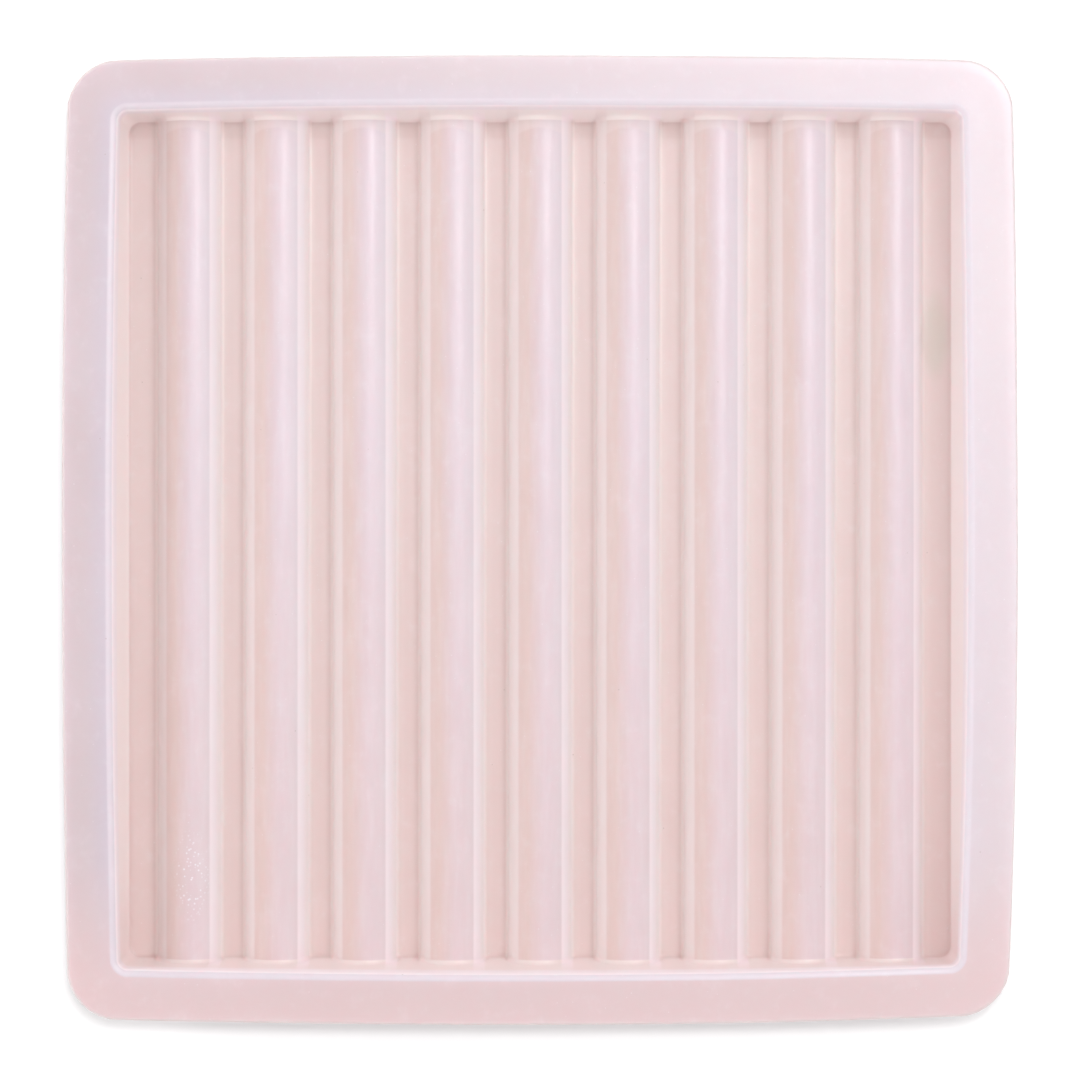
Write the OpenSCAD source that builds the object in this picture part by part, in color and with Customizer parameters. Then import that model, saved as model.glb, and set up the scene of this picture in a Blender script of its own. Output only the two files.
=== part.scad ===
// Nine-column silicone embed mould: a shallow square tray with a wide flange, a drafted wall and
// nine hollow half-round columns across its floor. Millimetres, +Z up, columns along Y. The
// origin is at the middle of the underside. The real thing is one moulding. Here each moulded
// feature is a solid of its own, and neighbours meet face to face.

/* [Tray] */
// Overall width, across the columns, at the middle of the sides
tray_w = 276; // [270:1:290]
// Overall length, along the columns, at the middle of the ends
tray_l = 280; // [260:1:300]
// Overall height, from the underside to the top of the flange
tray_h = 24.5; // [20:0.5:35]
// How far each side bulges out between its corners
side_bow = 1.3; // [0:0.1:2]

/* [Flange] */
// Width of the flange, from the wall's lip to the outer edge
flange_w = 12; // [10:0.5:13]
// Thickness of the flange
flange_t = 3; // [2.5:0.1:5]
// Rounding of the flange's outer edge
edge_r = 1; // [0.5:0.1:1.2]
// Plan radius of the tray's outer corners
outer_corner_r = 15.5; // [8:0.5:16]

/* [Wall] */
// Thickness of the wall
wall_t = 2.8; // [2:0.1:3]
// How far the wall leans out between the floor and the lip
wall_lean = 2.35; // [1:0.05:3]
// Radius of the rounded lip between the wall and the flange
lip_r = 2.2; // [1:0.1:3]
// Plan radius of the corners at the floor
floor_corner_r = 3.8; // [3:0.1:5]
// Plan radius of the corners at the lip
lip_corner_r = 3; // [2:0.1:5]

/* [Floor] */
// Thickness of the floor between the columns
floor_t = 2.8; // [2:0.1:4]

/* [Columns] */
// Number of columns
column_count = 9; // [3:1:9]
// Distance from one column to the next
column_pitch = 25.7; // [20:0.1:26]
// Width of a column over its two sides
column_w = 18.1; // [16:0.1:18.5]
// Height of a column's crest above the floor
column_h = 8.9; // [7.5:0.1:9]
// Thickness of a column's shell
column_shell = 2.75; // [2:0.05:3]

/* [Hidden] */
SIDES = ["front", "right", "back", "left"];
CORNERS = ["front_right", "back_right", "back_left", "front_left"];

// Facets along a side and round a corner of the wall and the flange
side_steps = 16;
corner_steps = 8;
arc_steps = 5;

// The seam between the wall and the flange stands this far past the lip, under the flat face
seam_past_lip = 0.65;

// Outward distances from the floor's outline
seam_out = wall_lean + lip_r + seam_past_lip;
edge_out = seam_out + flange_w;

// The floor's outline, which every other outline is measured from
floor_w = tray_w - 2 * edge_out;
floor_l = tray_l - 2 * edge_out;

// Where the straight sides end and the corners begin
corner_x = floor_w / 2 - floor_corner_r;
corner_y = floor_l / 2 - floor_corner_r;

lip_z = tray_h - lip_r;
column_r = column_w / 2;
column_axis_z = floor_t + column_h - column_r;

silicone_light = [0.95, 0.90, 0.94];
silicone_edge = [0.92, 0.86, 0.90];
silicone_wall = [0.89, 0.82, 0.83];
silicone_floor = [0.88, 0.77, 0.75];

function numbered(name, i) = str(name, i < 10 ? "0" : "", i);

function column_x(i) = (i - (column_count + 1) / 2) * column_pitch;

// A section corner is [outward distance, height, plan radius at the corners, share of the bow].
// The wall's section goes up the inner face, over the lip, and down the seam and the outer face.
function wall_section() = concat(
    [[0, 0, floor_corner_r, 0], [0, floor_t, floor_corner_r, 0]],
    [for (i = [0:arc_steps])
        let (a = 180 - 90 * i / arc_steps)
        [wall_lean + lip_r * (1 + cos(a)), lip_z + lip_r * sin(a), lip_corner_r + lip_r * (1 + cos(a)), 1]],
    [[seam_out, tray_h, lip_corner_r + lip_r + seam_past_lip, 1],
     [seam_out, tray_h - flange_t, lip_corner_r + lip_r + seam_past_lip, 1],
     [wall_t, 0, floor_corner_r + wall_t, 0]]
);

// The flange's section goes out along the underside, round the edge and back along the top.
function flange_section() = concat(
    [[seam_out, tray_h - flange_t, lip_corner_r + lip_r + seam_past_lip, 1]],
    [for (i = [0:arc_steps]) edge_corner(-90 + 90 * i / arc_steps, tray_h - flange_t + edge_r)],
    [for (i = [0:arc_steps]) edge_corner(90 * i / arc_steps, tray_h - edge_r)],
    [[seam_out, tray_h, lip_corner_r + lip_r + seam_past_lip, 1]]
);

function edge_corner(a, z) =
    [edge_out + edge_r * (cos(a) - 1), z + edge_r * sin(a), outer_corner_r + edge_r * (cos(a) - 1), 1];

// One section corner carried along the front side, or along the right side if along_y
function side_point(c, t, along_y) =
    let (
        reach = (along_y ? floor_w : floor_l) / 2 + c[0] - side_bow * c[3] * t * t,
        across = t * (along_y ? corner_y : corner_x)
    )
    along_y ? [reach, across, c[1]] : [across, -reach, c[1]];

// One section corner carried round the front right corner: onto the side's end, round, and off again
function corner_point(c, i) =
    let (
        x = floor_w / 2 + c[0] - side_bow * c[3],
        y = floor_l / 2 + c[0] - side_bow * c[3],
        a = -90 + 90 * (i - 1) / corner_steps
    )
    i == 0 ? [corner_x, -y, c[1]]
    : i == corner_steps + 2 ? [x, -corner_y, c[1]]
    : [x - c[2] * (1 - cos(a)), -y + c[2] * (1 + sin(a)), c[1]];

// A closed solid through a row of rings, each with the same number of points
module loft(rings) {
    n = len(rings[0]);
    last = len(rings) - 1;
    points = [for (ring = rings) for (p = ring) p];
    skin = [for (i = [0:last - 1]) for (j = [0:n - 1])
        let (k = (j + 1) % n)
        for (tri = [[i * n + j, i * n + k, (i + 1) * n + k], [i * n + j, (i + 1) * n + k, (i + 1) * n + j]])
            tri];
    polyhedron(points, concat(
        skin,
        [[for (j = [n - 1:-1:0]) j]],
        [[for (j = [0:n - 1]) last * n + j]]
    ));
}

// A section along one side: 0 front, 1 right, 2 back, 3 left
module along_side(section, s) {
    along_y = s % 2 == 1;
    rotate(s > 1 ? 180 : 0)
        loft([for (i = [0:side_steps])
            let (t = 2 * i / side_steps - 1)
            [for (c = section) side_point(c, t, along_y)]]);
}

// A section round one corner: 0 front right, 1 back right, 2 back left, 3 front left
module round_corner(section, k) {
    rotate(k > 1 ? 180 : 0)
        mirror([0, k % 2, 0])
            loft([for (i = [0:corner_steps + 2]) [for (c = section) corner_point(c, i)]]);
}

module wall_side(s) {
    color(silicone_wall) along_side(wall_section(), s);
}

module wall_corner(k) {
    color(silicone_wall) round_corner(wall_section(), k);
}

module flange_side(s) {
    color(silicone_light) along_side(flange_section(), s);
}

module flange_corner(k) {
    color(silicone_edge) round_corner(flange_section(), k);
}

// The outline that the floor strips are cut from, with the wall's own corner facets
module floor_outline() {
    corner = [for (i = [1:corner_steps + 1]) corner_point([0, 0, floor_corner_r, 0], i)];
    quarter = [for (p = corner) [p[0], p[1]]];
    n = len(quarter) - 1;
    polygon(concat(
        quarter,
        [for (i = [n:-1:0]) [quarter[i][0], -quarter[i][1]]],
        [for (i = [0:n]) [-quarter[i][0], -quarter[i][1]]],
        [for (i = [n:-1:0]) [-quarter[i][0], quarter[i][1]]]
    ));
}

// Floor between column i - 1 and column i. The first and the last strip reach the side walls.
module floor_strip(i) {
    x_low = i == 1 ? -floor_w / 2 : column_x(i - 1) + column_r;
    x_high = i == column_count + 1 ? floor_w / 2 : column_x(i) - column_r;
    color(silicone_floor)
        linear_extrude(floor_t)
            intersection() {
                floor_outline();
                translate([x_low, -floor_l / 2]) square([x_high - x_low, floor_l]);
            }
}

// An arch of this radius about the column's axis, with straight sides down to the underside
module arch(r) {
    translate([0, column_axis_z]) circle(r, $fn = 96);
    translate([-r, 0]) square([2 * r, column_axis_z]);
}

// What a column's ends are cut to: square through the floor, then leaning with the end wall
module end_slopes(x) {
    t = x / corner_x;
    lip_y = floor_l / 2 + wall_lean - side_bow * t * t;
    rotate([90, 0, 90])
        linear_extrude(column_w + 2, center = true)
            polygon([
                [-floor_l / 2, 0], [floor_l / 2, 0], [floor_l / 2, floor_t],
                [lip_y, lip_z], [-lip_y, lip_z], [-floor_l / 2, floor_t]
            ]);
}

// A hollow column: a half-round ridge above the floor, open along the underside
module column(i) {
    color(silicone_light)
        translate([column_x(i), 0, 0])
            intersection() {
                rotate([90, 0, 0])
                    linear_extrude(floor_l + 4 * wall_t, center = true)
                        difference() {
                            arch(column_r);
                            arch(column_r - column_shell);
                        }
                end_slopes(column_x(i));
            }
}

for (s = [0:3]) wall_side(s);
for (k = [0:3]) wall_corner(k);
for (s = [0:3]) flange_side(s);
for (k = [0:3]) flange_corner(k);
for (i = [1:column_count + 1])
    floor_strip(i);
for (i = [1:column_count]) column(i);
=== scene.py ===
import math

import bpy
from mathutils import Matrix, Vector, noise


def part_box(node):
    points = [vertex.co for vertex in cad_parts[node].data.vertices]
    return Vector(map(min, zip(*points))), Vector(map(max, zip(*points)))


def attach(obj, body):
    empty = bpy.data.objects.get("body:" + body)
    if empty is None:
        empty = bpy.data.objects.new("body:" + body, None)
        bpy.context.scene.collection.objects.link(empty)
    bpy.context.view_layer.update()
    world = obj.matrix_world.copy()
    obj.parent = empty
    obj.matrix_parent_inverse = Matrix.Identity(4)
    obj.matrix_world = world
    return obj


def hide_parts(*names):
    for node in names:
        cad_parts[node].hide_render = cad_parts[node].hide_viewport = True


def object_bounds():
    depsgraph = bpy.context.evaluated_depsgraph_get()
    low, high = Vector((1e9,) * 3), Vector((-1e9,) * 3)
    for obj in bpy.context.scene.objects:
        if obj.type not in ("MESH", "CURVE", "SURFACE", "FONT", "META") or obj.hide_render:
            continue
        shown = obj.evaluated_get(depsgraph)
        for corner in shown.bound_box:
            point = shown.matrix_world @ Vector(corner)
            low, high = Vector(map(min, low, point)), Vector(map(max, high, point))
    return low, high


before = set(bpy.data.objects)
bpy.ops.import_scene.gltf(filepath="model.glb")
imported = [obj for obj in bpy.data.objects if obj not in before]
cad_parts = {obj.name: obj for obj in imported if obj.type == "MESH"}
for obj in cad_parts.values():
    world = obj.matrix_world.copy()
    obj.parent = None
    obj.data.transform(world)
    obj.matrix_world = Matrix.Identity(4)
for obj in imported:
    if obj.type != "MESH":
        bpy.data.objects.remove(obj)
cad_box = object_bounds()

# The silicone moulding is one continuous skin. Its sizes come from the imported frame, in metres,
# and the small roundings that the frame leaves out are named here.

MM = 0.001
TRAY_LOW, TRAY_HIGH = cad_box
TOP_Z = TRAY_HIGH.z

COLUMNS = sorted(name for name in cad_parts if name.startswith("column_"))
COLUMN_X = [(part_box(name)[0].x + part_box(name)[1].x) / 2 for name in COLUMNS]
COLUMN_R = (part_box(COLUMNS[0])[1].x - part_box(COLUMNS[0])[0].x) / 2
COLUMN_AXIS_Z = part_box(COLUMNS[0])[1].z - COLUMN_R
SHELL = 2.75 * MM
CHANNEL_R = COLUMN_R - SHELL

FLOOR_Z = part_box("floor_strip_02")[1].z
FLOOR_HALF = Vector((-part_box("floor_strip_01")[0].x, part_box("floor_strip_02")[1].y))
CORNER_AT = Vector((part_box("front_wall")[1].x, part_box("right_wall")[1].y))
FLOOR_CORNER_R = FLOOR_HALF.x - CORNER_AT.x
SEAM_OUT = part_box("right_wall")[1].x - FLOOR_HALF.x
EDGE_OUT = TRAY_HIGH.x - FLOOR_HALF.x
FLANGE_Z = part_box("front_flange")[0].z
SIDE_BOW = TRAY_HIGH.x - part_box("front_right_corner_flange")[1].x

WALL_T = 2.8 * MM
WALL_LEAN = 2.35 * MM
LIP_R = 2.2 * MM
LIP_CORNER_R = 3.0 * MM
LIP_Z = TOP_Z - LIP_R
EDGE_R = 1.0 * MM
OUTER_CORNER_R = 15.5 * MM

FOOT_R = 1.2 * MM        # round foot of a column on the floor
WALL_FOOT_R = 1.3 * MM   # round foot of the wall on the floor and on the columns' ends
COVE_R = 1.6 * MM        # under the flange
BASE_R = 0.8 * MM        # round the underside
MOUTH_R = 0.5 * MM       # round each channel's mouth
CHANNEL_END_R = 0.8 * MM

LEAN_ANGLE = math.atan(WALL_LEAN / (LIP_Z - FLOOR_Z))
OUTER_LEAN = math.atan((SEAM_OUT - WALL_T) / FLANGE_Z)

# How many faces each stretch of the skin gets, over the floor
CORNER_N = 4
MARGIN_N = 4
FOOT_N = 3
ARC_N = 18
GAP_N = 4
END_N = 9
RUN_N = 50
COLUMN_N = 2 * FOOT_N + ARC_N

# and outward from the floor, over the flange and down to the underside
WALL_FOOT_N = 4
WALL_N = 6
LIP_N = 8
FLANGE_SHARES = (0.05, 0.12, 0.22, 0.36, 0.56, 0.78, 1)     # of the way from the lip to the edge
EDGE_N = 4
UNDER_FLANGE_N = 4
COVE_N = 5
BASE_N = 4


def lerp(a, b, t):
    return a + (b - a) * t


def share_of(value, low, high):
    return min(1.0, max(0.0, (value - low) / (high - low)))


# ---------- profiles across the columns ----------


def ridge_profile():
    """Half-round ridge with round feet, from the left foot to the right one.

    Each point is (x from the column's axis, z, normal x, normal z).
    """
    lift = FLOOR_Z + FOOT_R - COLUMN_AXIS_Z
    foot_x = math.sqrt((COLUMN_R + FOOT_R) ** 2 - lift ** 2)
    tangent = math.asin(lift / (COLUMN_R + FOOT_R))
    points = []
    for i in range(FOOT_N):
        a = math.radians(-90) + (math.radians(90) + tangent) * i / FOOT_N
        across, up = math.sin(a + math.radians(90)), -math.cos(a + math.radians(90))
        points.append((-foot_x + FOOT_R * across, FLOOR_Z + FOOT_R + FOOT_R * up, -across, -up))
    for i in range(ARC_N + 1):
        a = math.pi - tangent - (math.pi - 2 * tangent) * i / ARC_N
        nx, nz = math.cos(a), math.sin(a)
        points.append((COLUMN_R * nx, COLUMN_AXIS_Z + COLUMN_R * nz, nx, nz))
    points += [(-x, z, -nx, nz) for x, z, nx, nz in reversed(points[:FOOT_N])]
    return points


def channel_profile():
    """Hollow under a ridge, with as many points as ridge_profile and of the same form.

    Its normals point into the hollow.
    """
    points = []
    for a in (0, math.pi / 4, math.pi / 2):
        nx, nz = math.sin(a), -math.cos(a)
        points.append((-CHANNEL_R - MOUTH_R * (1 - nx), MOUTH_R * (1 + nz), nx, nz))
    points.append((-CHANNEL_R, lerp(MOUTH_R, COLUMN_AXIS_Z, 0.5), 1, 0))
    side_n = len(points)
    arc_n = COLUMN_N - 2 * side_n
    for i in range(arc_n + 1):
        a = math.pi - math.pi * i / arc_n
        nx, nz = -math.cos(a), -math.sin(a)
        points.append((-CHANNEL_R * nx, COLUMN_AXIS_Z - CHANNEL_R * nz, nx, nz))
    points += [(-x, z, -nx, nz) for x, z, nx, nz in reversed(points[:side_n])]
    return points


def across_tray(one_column, edge_x, corner_r):
    """A whole profile from one side of the tray to the other.

    Each point gets a fifth number: its x when a column's points are spread evenly.
    """
    half = -one_column[0][0]
    first, last = COLUMN_X[0] - half, COLUMN_X[-1] + half
    centre = edge_x - corner_r
    level = one_column[0][1]
    left = [(-edge_x + corner_r * i / CORNER_N) for i in range(CORNER_N)]
    left += [lerp(-centre, first, i / MARGIN_N) for i in range(MARGIN_N)]
    line = [(x, level, 0, 1, x) for x in left]
    for k, cx in enumerate(COLUMN_X):
        for i, (x, z, nx, nz) in enumerate(one_column):
            line.append((cx + x, z, nx, nz, cx + lerp(-half, half, i / COLUMN_N)))
        if k + 1 < len(COLUMN_X):
            start, end = cx + half, COLUMN_X[k + 1] - half
            for i in range(1, GAP_N):
                x = lerp(start, end, i / GAP_N)
                line.append((x, level, 0, 1, x))
    right = [lerp(last, centre, (i + 1) / MARGIN_N) for i in range(MARGIN_N)]
    right += [centre + corner_r * (i + 1) / CORNER_N for i in range(CORNER_N)]
    return line + [(x, level, 0, 1, x) for x in right]


# ---------- the skin's outlines ----------


def outline(place, out, z, corner_r, bow):
    """The point on an outline that stands `out` past the floor's edge.

    A place is a side or an end and how far along it, or a corner and an angle.
    """
    kind, sx, sy, along = place
    half_x = FLOOR_HALF.x + out
    half_y = FLOOR_HALF.y + out
    if kind == "corner":
        centre_x = half_x - SIDE_BOW * bow - corner_r
        centre_y = half_y - SIDE_BOW * bow - corner_r
        x = centre_x + corner_r * math.cos(along)
        y = centre_y + corner_r * math.sin(along)
        return Vector((sx * x, sy * y, z))
    if kind == "end":
        t = along / CORNER_AT.x
        return Vector((along, sy * (half_y - SIDE_BOW * bow * t * t), z))
    t = along / CORNER_AT.y
    return Vector((sx * (half_x - SIDE_BOW * bow * t * t), along, z))


def wall_out(z):
    return math.tan(LEAN_ANGLE) * (z - FLOOR_Z)


def wall_bow(z):
    return share_of(z, FLOOR_Z, LIP_Z)


def wall_corner_r(z):
    return lerp(FLOOR_CORNER_R, LIP_CORNER_R, wall_bow(z))


def outer_out(z):
    return WALL_T + math.tan(OUTER_LEAN) * z


def outer_corner_r(z):
    return lerp(FLOOR_CORNER_R + WALL_T, LIP_CORNER_R + SEAM_OUT - WALL_LEAN, z / FLANGE_Z)


def flange_corner_r(out):
    inner = LIP_CORNER_R + LIP_R
    return lerp(inner, OUTER_CORNER_R, share_of(out, WALL_LEAN + LIP_R, EDGE_OUT))


TOP = across_tray(ridge_profile(), FLOOR_HALF.x - WALL_FOOT_R, FLOOR_CORNER_R - WALL_FOOT_R)
BASE_EDGE = outer_out(BASE_R) - BASE_R / math.cos(OUTER_LEAN)
BASE_CORNER_R = outer_corner_r(0) - BASE_R
BOTTOM = across_tray(channel_profile(), FLOOR_HALF.x + BASE_EDGE, BASE_CORNER_R)
U = len(TOP) - 1
V = 2 * END_N + RUN_N

# The rows are evenly spaced up to here, and closer past it, where the channels end
RUN_END = FLOOR_HALF.y - 8 * MM


def rows(edge_y, corner_r):
    """y of each row of the skin, front to back, for a floor that ends at edge_y."""
    centre = edge_y - corner_r
    near = [edge_y - corner_r * j / CORNER_N for j in range(CORNER_N + 1)]
    near += [lerp(centre, RUN_END, j / (END_N - CORNER_N)) for j in range(1, END_N - CORNER_N)]
    run = [lerp(-RUN_END, RUN_END, j / RUN_N) for j in range(RUN_N + 1)]
    return [-y for y in near] + run + near[::-1]


TOP_ROWS = rows(FLOOR_HALF.y - WALL_FOOT_R, FLOOR_CORNER_R - WALL_FOOT_R)
BOTTOM_ROWS = rows(FLOOR_HALF.y + BASE_EDGE, BASE_CORNER_R)


def border():
    """(u, v) round the edge of the skin's grid, counterclockwise from the front left corner."""
    ring = [(u, 0) for u in range(U)]
    ring += [(U, v) for v in range(V)]
    ring += [(u, V) for u in range(U, 0, -1)]
    ring += [(0, v) for v in range(V, 0, -1)]
    return ring


def near_corner(u, v):
    """Steps from the nearest corner of the grid along both its edges, with that corner's signs."""
    sx, du = (-1, u) if u <= U - u else (1, U - u)
    sy, dv = (-1, v) if v <= V - v else (1, V - v)
    return sx, sy, du, dv


def place_on(u, v, line, row):
    """Where a border point of the grid stands on an outline."""
    sx, sy, du, dv = near_corner(u, v)
    if dv == 0 and du < CORNER_N:
        return "corner", sx, sy, math.radians(45 + 45 * du / CORNER_N)
    if du == 0 and dv < CORNER_N:
        return "corner", sx, sy, math.radians(45 - 45 * dv / CORNER_N)
    if dv == 0:
        return "end", sx, sy, line
    return "side", sx, sy, row


def corner_patch(du, dv, sx, sy, edge, corner_r):
    """A quarter disc meshed as a square: the point du, dv steps from the middle of its arc."""
    s, t = du / CORNER_N, dv / CORNER_N

    def arc(degrees):
        a = math.radians(degrees)
        return Vector((math.cos(a), math.sin(a)))

    low, side = arc(45 + 45 * s), arc(45 - 45 * t)
    high, far = Vector((1 - s, 0)), Vector((0, 1 - t))
    along_s = lerp(side, far, s)
    along_t = lerp(low, high, t)
    flat = lerp(lerp(arc(45), arc(90), s), lerp(arc(0), Vector((0, 0)), s), t)
    p = Vector(edge) - corner_r * (Vector((1, 1)) - along_s - along_t + flat)
    return Vector((sx * p.x, sy * p.y))


# ---------- the skin's rings, from the floor's edge to the underside ----------


def floor_rings():
    """Round the wall's foot and up to the lip, from where each border point stands on the floor.

    A foot ring is (kind, how far up off the floor, how far in from the wall), and a wall ring is
    (kind, share of the way up).
    """
    rings = []
    for i in range(1, WALL_FOOT_N + 1):
        a = math.radians(90) * i / WALL_FOOT_N
        rings.append(("foot", WALL_FOOT_R * (1 - math.cos(a)), WALL_FOOT_R * (1 - math.sin(a))))
    return rings + [("wall", i / WALL_N) for i in range(1, WALL_N + 1)]


def shell_rings():
    """The rest of the way: over the lip, across the flange, round its edge, back under it and down.

    Each ring is (out, z, corner radius, share of the sides' bow, how far its points have moved
    from their places on the floor to their places on the underside).
    """
    rings = []
    lip_out = WALL_LEAN + LIP_R / math.cos(LEAN_ANGLE)
    for i in range(1, LIP_N + 1):
        a = lerp(math.pi - LEAN_ANGLE, math.pi / 2, i / LIP_N)
        out = lip_out + LIP_R * math.cos(a)
        rings.append((out, LIP_Z + LIP_R * math.sin(a), LIP_CORNER_R + out - WALL_LEAN, 1, 0))
    for share in FLANGE_SHARES:
        out = lerp(lip_out, EDGE_OUT - EDGE_R, share)
        rings.append((out, TOP_Z, flange_corner_r(out), 1, 0))
    quarter = [math.radians(90) * i / EDGE_N for i in range(EDGE_N + 1)]
    upper = [(math.radians(90) - a, TOP_Z - EDGE_R) for a in quarter[1:]]
    lower = [(-a, FLANGE_Z + EDGE_R) for a in quarter]
    for a, level in upper + lower:
        out = EDGE_OUT - EDGE_R + EDGE_R * math.cos(a)
        rings.append((out, level + EDGE_R * math.sin(a), flange_corner_r(out), 1, 0))
    cove_z = FLANGE_Z - COVE_R
    cove_out = outer_out(cove_z) + COVE_R / math.cos(OUTER_LEAN)
    for i in range(1, UNDER_FLANGE_N + 1):
        out = lerp(EDGE_OUT - EDGE_R, cove_out, i / UNDER_FLANGE_N)
        rings.append((out, FLANGE_Z, flange_corner_r(out), 1, 0))
    for i in range(1, COVE_N + 1):
        a = lerp(math.pi / 2, math.pi - OUTER_LEAN, i / COVE_N)
        z = cove_z + COVE_R * math.sin(a)
        out = cove_out + COVE_R * math.cos(a)
        radius = lerp(flange_corner_r(cove_out), outer_corner_r(z), i / COVE_N)
        rings.append((out, z, radius, share_of(z, 0, FLANGE_Z), 0))
    wall_top, wall_foot = rings[-1][1], BASE_R * (1 - math.sin(OUTER_LEAN))
    for i in range(1, WALL_N + 1):
        z = lerp(wall_top, wall_foot, i / WALL_N)
        rings.append((outer_out(z), z, outer_corner_r(z), z / FLANGE_Z, i / WALL_N))
    for i in range(1, BASE_N + 1):
        a = lerp(-OUTER_LEAN, -math.pi / 2, i / BASE_N)
        out = BASE_EDGE + BASE_R * math.cos(a)
        radius = outer_corner_r(0) - BASE_R * (1 - math.cos(a))
        rings.append((out, BASE_R * (1 + math.sin(a)), radius, 0, 1))
    return rings


def ring_point(ring, u, v):
    """A ring's point, and how far past the floor's edge it stands."""
    x, z, nx, nz, spread = TOP[u]
    _, _, du, dv = near_corner(u, v)
    on_end = dv == 0 and du >= CORNER_N
    if not on_end:
        x, z, nx, nz, spread = 0, FLOOR_Z, 0, 1, 0
    if ring[0] == "foot":
        x, z = x + nx * ring[1], z + nz * ring[1]
        out = wall_out(z) - ring[2]
        place = place_on(u, v, x, TOP_ROWS[v])
        return outline(place, out, z, wall_corner_r(z) - ring[2], wall_bow(z)), out
    if ring[0] == "wall":
        x, z = x + nx * WALL_FOOT_R, z + nz * WALL_FOOT_R
        z = lerp(z, LIP_Z + LIP_R * math.sin(LEAN_ANGLE), ring[1])
        place = place_on(u, v, lerp(x, spread, ring[1] ** 0.7), TOP_ROWS[v])
        return outline(place, wall_out(z), z, wall_corner_r(z), wall_bow(z)), wall_out(z)
    out, z, corner_r, bow, moved = ring
    line = lerp(spread, BOTTOM[u][4] if on_end else 0, moved)
    place = place_on(u, v, line, lerp(TOP_ROWS[v], BOTTOM_ROWS[v], moved))
    return outline(place, out, z, corner_r, bow), out


# ---------- the skin's two faces ----------


def top_point(u, v):
    x, z = TOP[u][:2]
    sx, sy, du, dv = near_corner(u, v)
    if du <= CORNER_N and dv <= CORNER_N:
        edge = (FLOOR_HALF.x - WALL_FOOT_R, FLOOR_HALF.y - WALL_FOOT_R)
        p = corner_patch(du, dv, sx, sy, edge, FLOOR_CORNER_R - WALL_FOOT_R)
        return Vector((p.x, p.y, FLOOR_Z))
    if dv == 0:
        return outline(("end", sx, sy, x), wall_out(z) - WALL_FOOT_R, z, 0, wall_bow(z))
    return Vector((x, TOP_ROWS[v], z))


MOUTH_MID = MOUTH_R * (1 - math.sin(math.pi / 4))

# The rows at a channel's end, from the underside's edge inward, as (how far past the end, how high
# up the mouth, stage). Stages 0 to 1 go up the end wall, and 1 to 3 round into the channel's roof.
CHANNEL_END = (
    (BASE_EDGE, 0, 0),
    (lerp(BASE_EDGE, MOUTH_R, 0.5), 0, 0),
    (MOUTH_R, 0, 0),
    (MOUTH_MID, MOUTH_MID, 0),
    (0, MOUTH_R, 0),
    (0, MOUTH_R, 0.5),
    (0, MOUTH_R, 1),
    (0, MOUTH_R, 2),
    (0, MOUTH_R, 3),
)
MOUTH_ROW = 4       # the row that reaches the end wall
MOUTH_STEPS = 2     # a channel's own points on either side that round its mouth


def bottom_point(u, v):
    x, z, nx, nz = BOTTOM[u][:4]
    sx, sy, du, dv = near_corner(u, v)
    if du <= CORNER_N and dv <= CORNER_N:
        edge = (FLOOR_HALF.x + BASE_EDGE, FLOOR_HALF.y + BASE_EDGE)
        p = corner_patch(du, dv, sx, sy, edge, BASE_CORNER_R)
        return Vector((p.x, p.y, 0))
    if dv >= END_N:
        return Vector((x, BOTTOM_ROWS[v], z))
    past, mouth, stage = CHANNEL_END[dv]
    step = (u - CORNER_N - MARGIN_N) % (COLUMN_N + GAP_N)
    rim = min(step, COLUMN_N - step)
    in_gap = du < CORNER_N + MARGIN_N or rim <= 0
    if dv > MOUTH_ROW and (in_gap or rim <= MOUTH_STEPS):
        past = -CHANNEL_END_R * (dv - MOUTH_ROW) / (END_N - 1 - MOUTH_ROW)
    y = sy * (FLOOR_HALF.y + past)
    blend = share_of(du, CORNER_N, CORNER_N + MARGIN_N)
    if blend < 1:
        return Vector((x, lerp(BOTTOM_ROWS[v], y, blend), 0))
    if in_gap:
        return Vector((x, y, 0))
    if rim <= MOUTH_STEPS:
        return Vector((x, y, min(mouth, z)))
    if stage <= 1:
        high_x, high_z = x + nx * CHANNEL_END_R, z + nz * CHANNEL_END_R
        return Vector((lerp(mouth_x(u, step), high_x, stage), y, lerp(mouth, high_z, stage)))
    turn = math.radians(45) * (stage - 1)
    off = CHANNEL_END_R * (1 - math.sin(turn))
    y = sy * (FLOOR_HALF.y - CHANNEL_END_R * (1 - math.cos(turn)))
    return Vector((x + nx * off, y, z + nz * off))


def mouth_x(u, step):
    """x along the mouth's edge at a channel's end, evenly spaced between the two rounded sides."""
    first, last = u - step + MOUTH_STEPS, u - step + COLUMN_N - MOUTH_STEPS
    return lerp(BOTTOM[first][0], BOTTOM[last][0], (u - first) / (last - first))


# ---------- the moulding's own unevenness ----------


WANDER = 0.35 * MM        # how far the sides wander inward
SLUMP = 0.35 * MM         # how far the flange sags at its outer edge
DIMPLE = 0.10 * MM        # how deep the floor and the ridges dip
CORNER_PULL = 1.1 * MM    # how far the front right corner is drawn in
CORNER_REACH = 60 * MM


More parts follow.
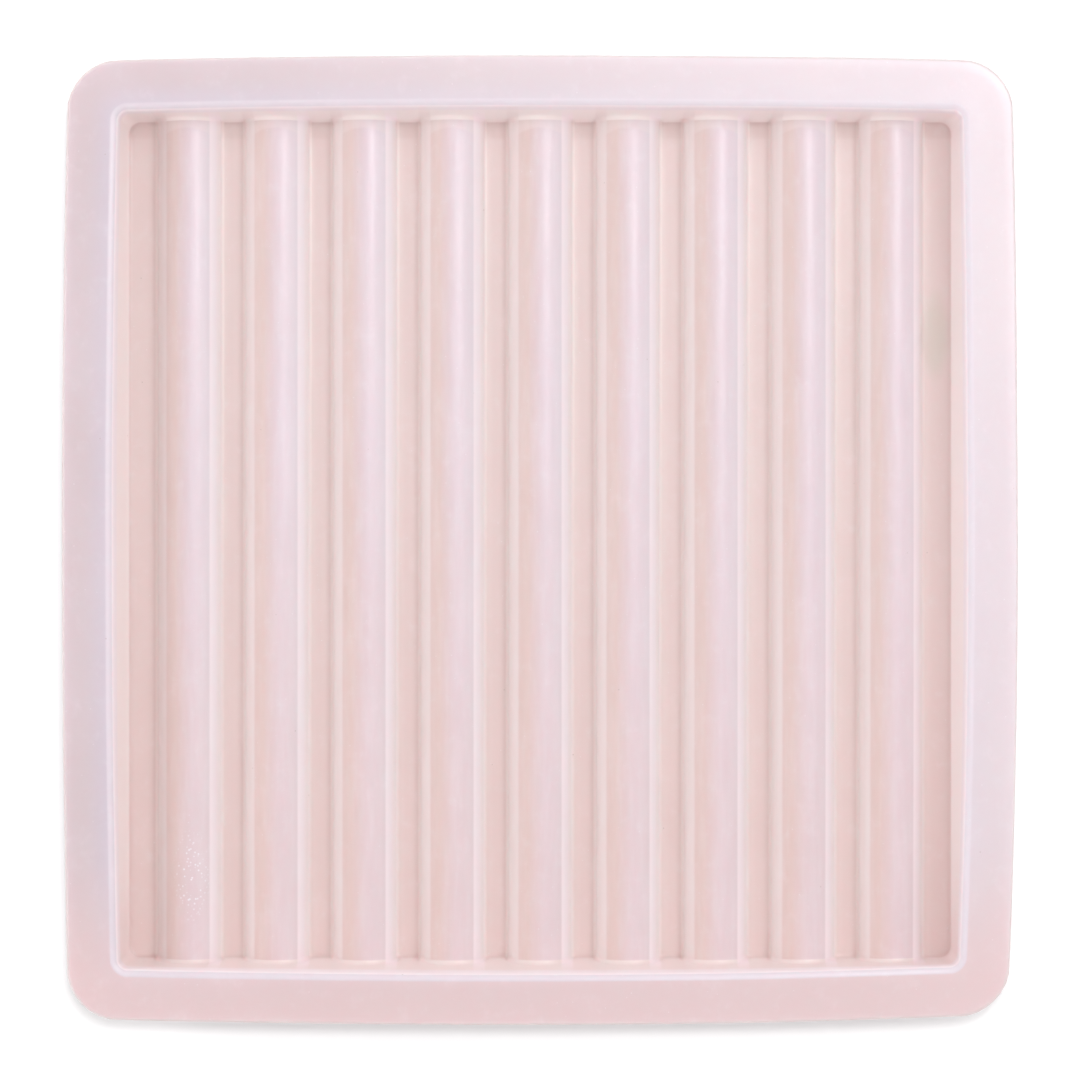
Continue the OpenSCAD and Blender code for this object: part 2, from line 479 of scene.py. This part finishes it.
def settle(p):
    """Silicone is never quite flat or straight: every shift here is inward or downward."""
    high = share_of(p.z, FLOOR_Z, TOP_Z)
    wander = WANDER * (0.5 + 0.5 * noise.noise(Vector((p.x * 14, p.y * 14, 3.1)))) * high
    corner = Vector((TRAY_HIGH.x, TRAY_LOW.y, 0))
    reach = (Vector((p.x, p.y, 0)) - corner).length
    drawn = CORNER_PULL * high * math.exp(-(reach / CORNER_REACH) ** 2)
    dip = DIMPLE * noise.noise(Vector((p.x * 22, p.y * 9, 7.7))) * share_of(p.z, 1.0 * MM, FLOOR_Z)
    outward = share_of(abs(p.x), FLOOR_HALF.x, TRAY_HIGH.x)
    outward += share_of(abs(p.y), FLOOR_HALF.y, TRAY_HIGH.y)
    return Vector((
        p.x - wander * p.x / TRAY_HIGH.x - drawn,
        p.y - wander * p.y / TRAY_HIGH.y + drawn,
        p.z + min(dip, 0) - SLUMP * outward * high,
    ))


def past_edge(p):
    return max(abs(p.x) - FLOOR_HALF.x, abs(p.y) - FLOOR_HALF.y)


def build_tray():
    points, past, faces = [], [], []

    def add(point, out=None):
        points.append(point)
        past.append(past_edge(point) if out is None else out)
        return len(points) - 1

    grid = [(u, v) for v in range(V + 1) for u in range(U + 1)]
    top = {uv: add(top_point(*uv)) for uv in grid}
    edge = border()
    ring_ids = [[top[uv] for uv in edge]]
    for ring in floor_rings() + shell_rings():
        ring_ids.append([add(*ring_point(ring, u, v)) for u, v in edge])
    bottom = dict(zip(edge, ring_ids[-1]))
    for uv in grid:
        if uv not in bottom:
            bottom[uv] = add(bottom_point(*uv))
    for v in range(V):
        for u in range(U):
            faces.append((top[u, v], top[u + 1, v], top[u + 1, v + 1], top[u, v + 1]))
            faces.append((bottom[u, v], bottom[u, v + 1], bottom[u + 1, v + 1], bottom[u + 1, v]))
    for inner, outer in zip(ring_ids, ring_ids[1:]):
        for i in range(len(edge)):
            k = (i + 1) % len(edge)
            faces.append((inner[i], outer[i], outer[k], inner[k]))
    mesh = bpy.data.meshes.new("silicone_tray")
    mesh.from_pydata([settle(p) for p in points], [], faces)
    # For the material: x and y before settling, and how far past the floor's edge
    place = mesh.attributes.new("place", "FLOAT_VECTOR", "POINT")
    place.data.foreach_set("vector", [c for p, out in zip(points, past) for c in (p.x, p.y, out)])
    mesh.polygons.foreach_set("use_smooth", [True] * len(mesh.polygons))
    tray = bpy.data.objects.new("silicone_tray", mesh)
    bpy.context.scene.collection.objects.link(tray)
    return tray


# ---------- material ----------


class Graph:
    """Short ways to add nodes to a material. Values may be numbers, colours or other nodes' outputs."""

    def __init__(self, material):
        material.use_nodes = True
        self.tree = material.node_tree
        self.shader = self.tree.nodes["Principled BSDF"]

    def give(self, socket, value):
        if isinstance(value, bpy.types.NodeSocket):
            self.tree.links.new(value, socket)
        else:
            socket.default_value = value

    def put(self, kind, inputs, **settings):
        node = self.tree.nodes.new(kind)
        for name, value in settings.items():
            setattr(node, name, value)
        for name, value in inputs.items():
            self.give(node.inputs[name], value)
        return node

    def maths(self, operation, *values):
        inputs = dict(enumerate(values))
        return self.put("ShaderNodeMath", inputs, operation=operation).outputs[0]

    def product(self, *masks):
        """1 where every mask is 1."""
        result = masks[0]
        for mask in masks[1:]:
            result = self.maths("MULTIPLY", result, mask)
        return result

    def rise(self, value, low, high, start=0.0, end=1.0):
        """Smooth step from start to end as the value goes from low to high."""
        inputs = {"Value": value, "From Min": low, "From Max": high, "To Min": start, "To Max": end}
        return self.put("ShaderNodeMapRange", inputs, interpolation_type="SMOOTHSTEP").outputs["Result"]

    def hump(self, value, low, high, soft):
        """1 between low and high, fading to 0 over the soft width outside."""
        up = self.rise(value, low - soft, low)
        down = self.rise(value, high, high + soft, 1.0, 0.0)
        return self.maths("MULTIPLY", up, down)

    def blend(self, factor, first, second):
        node = self.put("ShaderNodeMix", {0: factor}, data_type="RGBA")
        self.give(node.inputs[6], first)
        self.give(node.inputs[7], second)
        return node.outputs[2]

    def clouds(self, where, scale, detail=2.0, roughness=0.5, distortion=0.0):
        inputs = {"Vector": where, "Scale": scale, "Detail": detail}
        inputs |= {"Roughness": roughness, "Distortion": distortion}
        return self.put("ShaderNodeTexNoise", inputs).outputs["Fac"]

    def cells(self, where, scale, low, high):
        """A dot in each cell of a random grid: 1 within low of its middle, fading to 0 at high."""
        grid = self.put("ShaderNodeTexVoronoi", {"Vector": where, "Scale": scale})
        return self.rise(grid.outputs["Distance"], low, high, 1.0, 0.0)


# Linear colours of the silicone, outward from the ridges to the flange's edge. Some stand in for light:
# the colour over the hollow's edge is painted shade, the shell's right side and the wall are painted
# light, and the lip's two colours are a painted highlight.
CREST = (0.672, 0.533, 0.520, 1)
# lilac for the crest's right half: a painted reflection, mixed with some random mottle
CREST_LILAC = (0.672, 0.568, 0.617, 1)
# painted shade over the hollow's edge on a ridge's left, the side away from the light
HOLLOW_EDGE_SHADE = (0.680, 0.540, 0.512, 1)      # over the hollow's edge, on a ridge's left
# the shell seen edge-on is paler through its thickness; its right side is a lighter copy, painted light
# from the right
SHELL_SIDE = (0.795, 0.692, 0.682, 1)       # a ridge's shell seen edge-on, at its left
SHELL_LIT_SIDE = (0.915, 0.782, 0.815, 1)   # and at its right
FLOOR = (0.705, 0.582, 0.570, 1)
# the wall painted pale to lift its shade, on top of the paler look of the thick wall
LIT_WALL = (0.880, 0.782, 0.768, 1)
# the lip's rounding painted as a pale lilac highlight, brightest at its inner edge
LIP_INNER = (0.840, 0.762, 0.785, 1)
LIP = (0.640, 0.588, 0.632, 1)
NEAR_LIP = (0.578, 0.528, 0.580, 1)
FLANGE = (0.585, 0.512, 0.530, 1)
EDGE = (0.600, 0.530, 0.525, 1)

# Tints laid over those. The milky tint serves real haze, streaks, bubbles and flecks and also painted
# light and sheen; the warm light tint is painted light and the dark one painted shade.
MILK_AND_SHEEN = (0.840, 0.810, 0.845, 1)
PAINTED_LIGHT = (0.900, 0.770, 0.745, 1)
PAINTED_SHADE = (0.560, 0.430, 0.410, 1)
WARM = (0.700, 0.515, 0.492, 1)
ROSE = (0.670, 0.540, 0.540, 1)
MOSS = (0.600, 0.550, 0.500, 1)
DUST = (0.420, 0.340, 0.320, 1)

PITCH = COLUMN_X[1] - COLUMN_X[0]

# A stain by the right wall, and a patch of trapped bubbles on the first ridge, each as
# (x, y, half width, half length)
STAIN = (0.1160, 0.060, 0.005, 0.016)
BUBBLES = (-0.1015, -0.098, 0.006, 0.016)


class Place:
    """Where a point is on the moulding, as masks that are 1 in a region and 0 outside it."""

    def __init__(self, g):
        place = g.put("ShaderNodeAttribute", {}, attribute_name="place").outputs["Vector"]
        along_x, along_y, out = g.put("ShaderNodeSeparateXYZ", {0: place}).outputs
        across = g.maths("WRAP", along_x, PITCH / 2, -PITCH / 2)
        aside = g.maths("ABSOLUTE", across)
        self.g, self.along_x, self.along_y = g, along_x, along_y

        # Floor, ridges and the bands along them, with painted reflection and painted light on each
        # ridge's right and painted shade on its left
        self.inside = g.rise(out, -0.5 * MM, 0.5 * MM, 1.0, 0.0)
        among = g.hump(along_x, COLUMN_X[0] - PITCH / 2, COLUMN_X[-1] + PITCH / 2, 0.05 * MM)
        amid = g.product(among, self.inside)
        column = g.product(among, g.rise(aside, COLUMN_R, COLUMN_R + 0.4 * MM, 1.0, 0.0))
        self.crest = g.product(column, self.inside)
        self.floor = g.product(self.inside, g.maths("SUBTRACT", 1.0, column))
        # painted reflection: the crest turns lilac over its right half
        self.reflection_side = g.rise(across, -4.0 * MM, 2.0 * MM)
        # painted light: the crest paler toward its right side, which faces the light
        self.lit_right_side = g.rise(across, 2.0 * MM, 6.0 * MM)
        # painted shade on each ridge's left, over the hollow's edge
        self.hollow_edge_shade = g.product(g.hump(across, -5.7 * MM, -3.6 * MM, 1.0 * MM), self.crest)
        # each ridge's right half, which takes the lit copy of the shell's colour
        self.lit_half = g.rise(across, -0.1 * MM, 0.1 * MM)
        shell = g.product(g.hump(aside, CHANNEL_R + 0.4 * MM, COLUMN_R + 0.2 * MM, 0.8 * MM), among)
        up_the_wall = g.rise(out, 0.5 * MM, 2.2 * MM, 1.0, 0.25)
        self.shell_side = g.product(shell, up_the_wall, g.rise(out, 2.2 * MM, 2.6 * MM, 1.0, 0.0))
        # painted light along each ridge's foot, lifting the shade there
        self.foot = g.product(g.hump(aside, COLUMN_R - 0.6 * MM, COLUMN_R + 0.7 * MM, 0.6 * MM), amid)

        # Painted shadow of the back rim: on the far ends of the ridges, beyond an arc, and on the far
        # end of the floor
        arc = g.maths("ADD", out, g.maths("MULTIPLY", g.product(across, across), 40.0))
        back_half = g.rise(along_y, 0.0, 0.05)
        self.crest_rim_shadow = g.product(g.rise(arc, -3.1 * MM, -2.1 * MM), self.crest, back_half)
        end_y = FLOOR_HALF.y
        self.floor_rim_shadow = g.product(g.rise(along_y, end_y - 5.6 * MM, end_y - 4.4 * MM), self.floor)

        # Each strip of floor: painted light beside the ridge on its left, painted shade beside the one
        # on its right, and near the back a painted dark line and a painted highlight line along its
        # left edge
        beside = g.rise(across, COLUMN_R - 0.4 * MM, COLUMN_R)
        self.lit_side = g.product(g.rise(across, PITCH / 2, COLUMN_R), beside, amid)
        beside = g.rise(across, -COLUMN_R - 0.6 * MM, -COLUMN_R, 1.0, 0.0)
        shade_ramp = g.rise(across, -COLUMN_R - 3.6 * MM, -COLUMN_R - 0.6 * MM)
        self.shaded_side = g.product(shade_ramp, beside, amid)
        upper = g.product(amid, g.rise(along_y, -0.02, 0.08))
        # a painted dark line and, beside it, a painted highlight line at each strip's left edge
        groove = g.hump(across, COLUMN_R + 0.25 * MM, COLUMN_R + 0.35 * MM, 0.2 * MM)
        highlight_line = g.hump(across, COLUMN_R + 0.7 * MM, COLUMN_R + 1.0 * MM, 0.2 * MM)
        self.groove, self.highlight_line = g.product(groove, upper), g.product(highlight_line, upper)

        # Outward from the floor. The wall is painted pale against its shade, and the lip carries a
        # painted highlight.
        self.wall = g.hump(out, 0.0, 1.9 * MM, 0.5 * MM)
        self.lip_inner = g.hump(out, 2.1 * MM, 2.6 * MM, 0.4 * MM)
        self.lip = g.hump(out, 2.4 * MM, 4.3 * MM, 0.6 * MM)
        self.flange = g.rise(out, 2.0 * MM, 2.6 * MM)
        fading = g.rise(out, 4.0 * MM, 12.0 * MM, 1.0, 0.0)
        self.near_lip = g.product(fading, g.rise(along_x, 0.13, -0.13, 0.35, 1.0))
        self.edge = g.rise(out, EDGE_OUT - 0.9 * MM, EDGE_OUT - 0.3 * MM)

        # Slow changes over the whole tray: warmer and darker toward the front, the flange pinker and
        # the wall darker at the front end, and a painted sheen that grows toward the far right
        self.near = g.rise(along_y, 0.060, -0.110)
        self.near_end = g.rise(along_y, -0.085, -0.130)
        slant = g.maths("ADD", along_x, g.maths("MULTIPLY", along_y, 0.5))
        self.sheen_far_right = g.rise(slant, -0.10, 0.18)

    def spot(self, x, y, wide, long):
        """1 in the middle of an oval on the plan, 0 outside it."""
        g = self.g
        dx = g.maths("DIVIDE", g.maths("SUBTRACT", self.along_x, x), wide)
        dy = g.maths("DIVIDE", g.maths("SUBTRACT", self.along_y, y), long)
        reach = g.maths("ADD", g.product(dx, dx), g.product(dy, dy))
        return g.rise(reach, 0.0, 1.0, 1.0, 0.0)


def painted(g, colour, layers):
    """A colour under layers of (mask, strength, tint)."""
    for mask, strength, tint in layers:
        colour = g.blend(g.product(mask, strength), colour, tint)
    return colour


def silicone():
    material = bpy.data.materials.new("silicone")
    g = Graph(material)
    at = Place(g)

    # What the silicone itself does
    where = g.put("ShaderNodeTexCoord", {}).outputs["Object"]
    mottle = g.rise(g.clouds(where, 24.0, 3.0, 0.55, 0.4), 0.32, 0.68)
    haze = g.clouds(where, 230.0, 4.0, 0.6, 0.2)
    drawn = g.put("ShaderNodeMapping", {0: where, "Scale": (1.0, 0.12, 1.0)}).outputs[0]
    drag = g.rise(g.clouds(drawn, 420.0, 3.0, 0.6), 0.35, 0.75)
    grain = g.clouds(where, 1900.0, 2.0, 0.6)
    bubbles = g.product(g.cells(where, 900.0, 0.15, 0.35), at.spot(*BUBBLES))
    dark_flecks = g.cells(where, 105.0, 0.014, 0.028)
    pale_flecks = g.cells(where, 260.0, 0.025, 0.06)

    # the crest's lilac right half is a painted reflection, with a little random mottle
    lilac = g.maths("ADD", g.product(at.reflection_side, 0.85), g.product(mottle, 0.15))
    colour = painted(g, g.blend(lilac, CREST, CREST_LILAC), (
        # painted light on the crest's right side
        (at.lit_right_side, 0.25, MILK_AND_SHEEN),
        # painted shade over the hollow's edge
        (at.hollow_edge_shade, 0.70, HOLLOW_EDGE_SHADE),
        (at.floor, 1.00, FLOOR),
        (g.product(at.near, at.inside), 0.32, WARM),
    ))
    rim = painted(g, g.blend(at.near_lip, FLANGE, NEAR_LIP), (
        # painted sheen toward the far right
        (at.sheen_far_right, 0.34, MILK_AND_SHEEN),
        (mottle, 0.25, LIP),
        (at.near_end, 0.75, ROSE),
    ))
    # the lip: a painted highlight, with painted sheen toward the far right
    lip = painted(g, LIP, ((at.sheen_far_right, 0.20, MILK_AND_SHEEN),))
    # the wall: painted light that lifts its shade, darker toward the front end
    wall = painted(g, LIT_WALL, ((at.near_end, 0.45, FLOOR),))
    # the shell's edge-on band: paler through its thickness, and painted lighter on the lit right
    side = g.blend(at.lit_half, SHELL_SIDE, SHELL_LIT_SIDE)
    colour = painted(g, colour, (
        (at.flange, 1.00, rim),
        (at.lip, 1.00, lip),
        (at.wall, 1.00, wall),
        # painted highlight at the lip's inner edge
        (at.lip_inner, 1.00, LIP_INNER),
        # painted shadow of the back rim on the crests' far ends
        (at.crest_rim_shadow, 0.35, SHELL_SIDE),
        (at.shell_side, 0.75, side),
        # painted shade beside each ridge's left foot
        (at.shaded_side, 0.30, PAINTED_SHADE),
        # painted shadow of the back rim on the floor strips
        (at.floor_rim_shadow, 0.20, PAINTED_SHADE),
        # painted light beside each ridge's right foot
        (at.lit_side, 0.20, PAINTED_LIGHT),
        # painted light along the ridges' feet
        (at.foot, 0.40, PAINTED_LIGHT),
        # painted dark line along each strip's left edge near the back
        (at.groove, 0.12, PAINTED_SHADE),
        # painted highlight line beside it
        (at.highlight_line, 0.35, PAINTED_LIGHT),
        (at.edge, 0.80, EDGE),
        (g.rise(haze, 0.50, 0.90), 0.16, MILK_AND_SHEEN),
        (g.product(drag, at.crest), 0.10, MILK_AND_SHEEN),
        (at.spot(*STAIN), 0.70, MOSS),
        (bubbles, 0.80, MILK_AND_SHEEN),
        (dark_flecks, 0.50, DUST),
        (pale_flecks, 0.40, MILK_AND_SHEEN),
    ))

    g.give(g.shader.inputs["Base Color"], colour)
    g.shader.inputs["Subsurface Weight"].default_value = 1.0
    g.shader.inputs["Subsurface Radius"].default_value = (1.0, 0.75, 0.8)
    g.shader.inputs["Subsurface Scale"].default_value = 6.0 * MM
    g.shader.inputs["IOR"].default_value = 1.41
    roughness = g.rise(g.clouds(where, 60.0, 4.0, 0.6), 0.3, 0.7, 0.37, 0.45)
    roughness = g.maths("ADD", roughness, g.rise(haze, 0.5, 0.8, 0.0, 0.10))
    # rougher in the rim's painted shadow on the crest ends, which dulls the highlight there
    g.give(g.shader.inputs["Roughness"], g.maths("ADD", roughness, g.product(at.crest_rim_shadow, 0.30)))

    ripple = {"Strength": 0.25, "Distance": 0.20 * MM, "Height": g.clouds(where, 110.0, 2.0)}
    rippled = g.put("ShaderNodeBump", ripple).outputs["Normal"]
    fine = {"Strength": 0.20, "Distance": 0.03 * MM, "Height": grain, "Normal": rippled}
    g.give(g.shader.inputs["Normal"], g.put("ShaderNodeBump", fine).outputs["Normal"])
    return material


# ---------- studio ----------


def area_light(name, at, size, watts):
    """A white square light that faces the origin."""
    lamp = bpy.data.lights.new(name, "AREA")
    lamp.shape = "SQUARE"
    lamp.size = size
    lamp.energy = watts
    obj = bpy.data.objects.new(name, lamp)
    obj.location = at
    obj.rotation_euler = (-Vector(at)).to_track_quat("-Z", "Y").to_euler()
    bpy.context.scene.collection.objects.link(obj)
    return obj


def studio():
    """A white table with a faint glow in a bright room: a broad light, a small high one and a sheen."""
    half = 1.5
    below = -0.1 * MM
    mesh = bpy.data.meshes.new("studio_floor")
    corners = [(-half, -half, below), (half, -half, below), (half, half, below), (-half, half, below)]
    mesh.from_pydata(corners, [], [(0, 1, 2, 3)])
    floor = bpy.data.objects.new("studio_floor", mesh)
    bpy.context.scene.collection.objects.link(floor)
    paint = bpy.data.materials.new("studio_white")
    shader = Graph(paint).shader
    shader.inputs["Base Color"].default_value = (0.92, 0.92, 0.92, 1)
    shader.inputs["Roughness"].default_value = 0.8
    shader.inputs["Emission Color"].default_value = (1, 1, 1, 1)
    shader.inputs["Emission Strength"].default_value = 0.12
    mesh.materials.append(paint)

    world = bpy.data.worlds.new("studio")
    world.use_nodes = True
    world.node_tree.nodes["Background"].inputs["Color"].default_value = (1, 1, 1, 1)
    world.node_tree.nodes["Background"].inputs["Strength"].default_value = 0.70
    bpy.context.scene.world = world
    area_light("key", (0.48, 0.24, 1.15), 0.8, 2.8).visible_glossy = False
    area_light("sun", (0.03, 0.14, 1.25), 0.15, 5.0).visible_glossy = False
    area_light("fill", (-0.80, 0.20, 0.50), 0.4, 1.4).visible_glossy = False
    area_light("sheen", (0.56, 0.50, 1.06), 0.4, 22).visible_diffuse = False
    bpy.context.scene.view_settings.view_transform = "Standard"


def camera():
    """Straight above the tray's middle. The picture's side is measured level with the flange's top."""
    data = bpy.data.cameras.new("camera")
    obj = bpy.data.objects.new("camera", data)
    distance = 1.15
    picture_side = 0.3111
    data.sensor_width = 36
    data.lens = data.sensor_width * distance / picture_side
    data.clip_start = 0.01
    obj.location = (0, 0, TOP_Z + distance)
    bpy.context.scene.collection.objects.link(obj)
    bpy.context.scene.camera = obj


tray = build_tray()
tray.data.materials.append(silicone())
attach(tray, "root")
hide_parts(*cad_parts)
studio()
camera()
